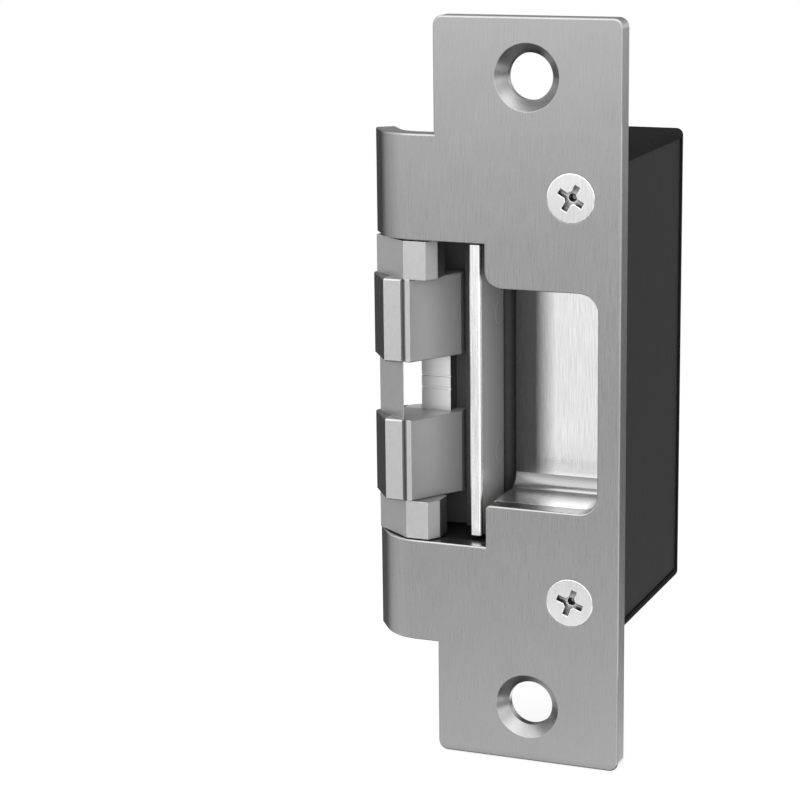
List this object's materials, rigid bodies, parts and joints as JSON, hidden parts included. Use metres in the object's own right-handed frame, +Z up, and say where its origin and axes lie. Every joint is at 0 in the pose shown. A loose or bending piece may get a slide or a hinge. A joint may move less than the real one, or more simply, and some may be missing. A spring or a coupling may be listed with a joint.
{
  "type": "electric door strike",
  "caption": "Electric door strike: slotted stainless faceplate with a bent lip, ramped swinging keeper, latch pocket cup and black case with solenoid lock.",
  "frame": {"origin": "front face of the faceplate, midway between its two mounting holes", "axes": "+X right when the faceplate is looked at (the lip is at -X), +Y into the door frame, +Z up"},
  "size_m": [0.0449, 0.0397, 0.1238],
  "materials": {
    "satin_stainless": "satin, fine brushed",
    "chrome_screw": "polished",
    "black_case": "satin black paint",
    "black_cover": "satin black paint",
    "zinc_screw": "bright zinc plate",
    "drawn_steel": "bright drawn",
    "keeper_metal": "matt cast, nickel plated",
    "black_carrier": "black oxide, matt",
    "hardened_steel": "ground front edge, darker sides",
    "ground_steel": "ground and polished",
    "spring_steel": "bright spring wire",
    "bronze": "sintered, matt",
    "black_rubber": "matt",
    "zinc_plated_iron": "zinc plated",
    "white_nylon": "matt",
    "copper_wire": "enamelled winding",
    "yellow_tape": "polyester tape",
    "lever_steel": "stamped and sintered steel",
    "green_laminate": "solder mask",
    "ivory_plastic": "moulded",
    "tinned_brass": "tinned",
    "blue_plastic": "moulded",
    "capacitor_sleeve": "shrink sleeve",
    "red_insulation": "wire insulation"
  },
  "bodies": {
    "strike": {"faceplate": "satin_stainless", "faceplate_screws": "chrome_screw", "case_body": "black_case", "side_cover": "black_cover", "cover_screws": "zinc_screw", "latch_pocket_cup": "drawn_steel", "keeper_hinge_pin": "ground_steel", "hinge_pin_clips": "spring_steel", "keeper_torsion_spring": "spring_steel", "keeper_stop_pad": "black_rubber", "solenoid_frame": "zinc_plated_iron", "solenoid_bobbin": "white_nylon", "solenoid_coil": "copper_wire", "coil_wrap": "yellow_tape", "solenoid_core": "zinc_plated_iron", "solenoid_screws": "zinc_screw", "plunger_spring": "spring_steel", "lock_lever_pin": "ground_steel", "circuit_board": "green_laminate", "circuit_board_screws": "zinc_screw", "connector_header": "ivory_plastic", "connector_pins": "tinned_brass", "control_relay": "blue_plastic", "smoothing_capacitor": "capacitor_sleeve", "coil_leads": "red_insulation"},
    "keeper": {"keeper_carrier": "black_carrier", "keeper_face": "keeper_metal", "keeper_face_screws": "zinc_screw", "latch_bearing_plate": "hardened_steel", "bearing_plate_rivets": "hardened_steel", "keeper_bushes": "bronze"},
    "plunger": {"solenoid_plunger": "zinc_plated_iron", "plunger_collar": "spring_steel", "plunger_link_pin": "ground_steel"},
    "lock_lever": {"lock_lever": "lever_steel"}
  },
  "joints": [
    {"name": "keeper_swing", "type": "hinge", "parent": "strike", "child": "keeper", "pos_m": [-0.0105, 0.02, 0], "axis": [0, 0, -1], "range_deg": [0, 60], "stiffness_Nm_per_rad": 0.02, "springref_deg": -28.65, "deforming": ["keeper_torsion_spring"]},
    {"name": "plunger_slide", "type": "slide", "parent": "strike", "child": "plunger", "axis": [0, 0, -1], "range_m": [0, 0.00215], "stiffness_N_per_m": 150, "springref_m": -0.002, "deforming": ["plunger_spring"]},
    {"name": "lock_lever_tilt", "type": "hinge", "parent": "strike", "child": "lock_lever", "pos_m": [0, 0.0345, 0], "axis": [1, 0, 0], "range_deg": [0, 12]}
  ],
  "couplings": [
    {"joint": "lock_lever_tilt", "follows": "plunger_slide", "rad_per_m": 97.4}
  ]
}
